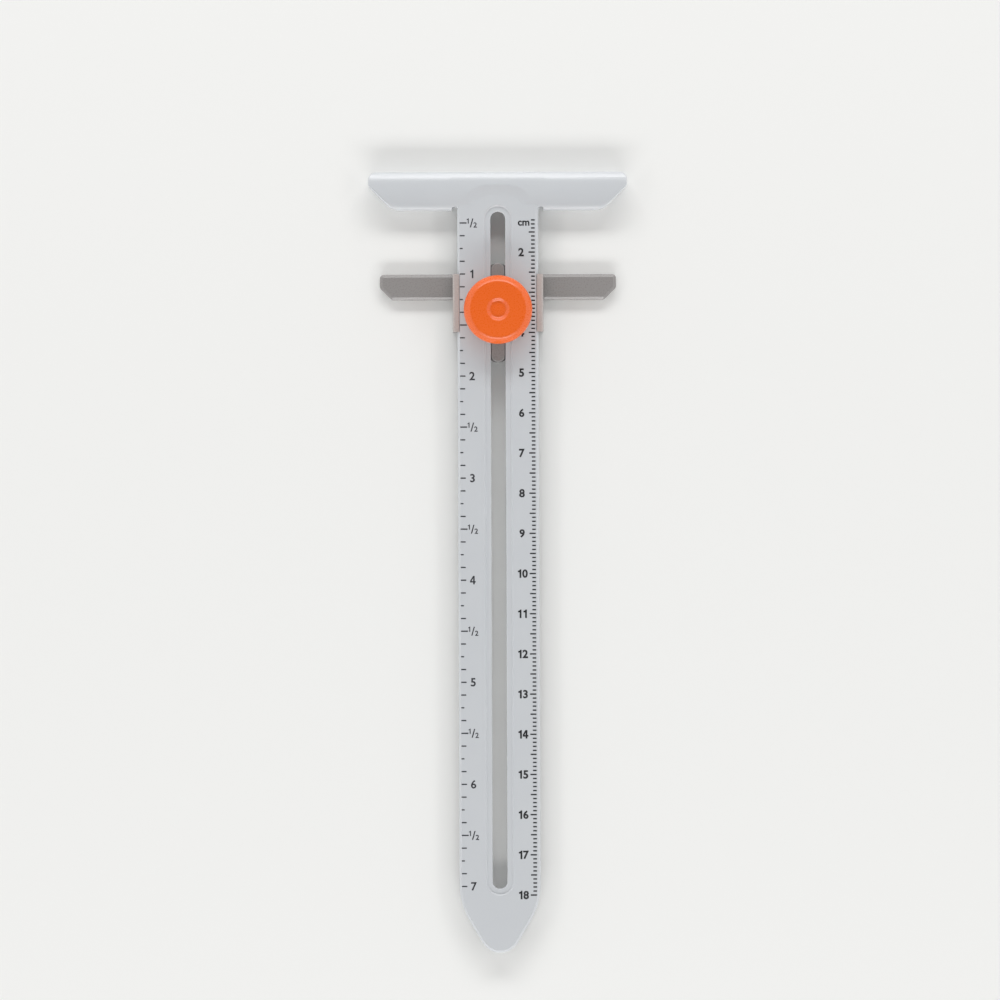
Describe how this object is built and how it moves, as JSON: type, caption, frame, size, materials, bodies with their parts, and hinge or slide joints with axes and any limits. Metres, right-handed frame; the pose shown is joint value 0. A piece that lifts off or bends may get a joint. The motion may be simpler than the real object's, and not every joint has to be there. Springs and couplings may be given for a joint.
{
  "type": "sewing gauge",
  "caption": "T headed ruler with a pointed end and a cross bar that slides along its slot, locked by a wedge until the round button on it is pressed.",
  "frame": {"origin": "middle of the whole gauge in X and Y, on the plane of its back faces", "axes": "+Y along the ruler towards its T head, +X across the ruler, +Z out of the printed front face"},
  "size_m": [0.0644, 0.1944, 0.0097],
  "materials": {
    "ruler_white": "moulded white plastic, satin gloss, cool white",
    "marker_grey": "moulded mid grey plastic, satin gloss",
    "cup_white": "natural acetal, waxy matt",
    "spring_steel": "drawn spring wire",
    "button_orange": "moulded orange plastic, semi gloss",
    "wedge_natural": "natural acetal, waxy matt",
    "screw_steel": "zinc plated steel",
    "scale_ink": "pad printed black ink"
  },
  "bodies": {
    "ruler": {"ruler_body": "ruler_white"},
    "slide": {"marker_bar": "marker_grey", "spring_cup": "cup_white", "lock_spring": "spring_steel"},
    "button": {"release_button": "button_orange", "lock_wedge": "wedge_natural", "clamp_screw": "screw_steel"}
  },
  "joints": [
    {"name": "slide_travel", "type": "slide", "parent": "ruler", "child": "slide", "axis": [0, 1, 0], "range_m": [-0.1308, 0.0127]},
    {"name": "button_press", "type": "slide", "parent": "slide", "child": "button", "axis": [0, 0, -1], "range_m": [0, 0.0012], "stiffness_N_per_m": 600, "springref_m": -0.002, "deforming": ["lock_spring"]}
  ]
}
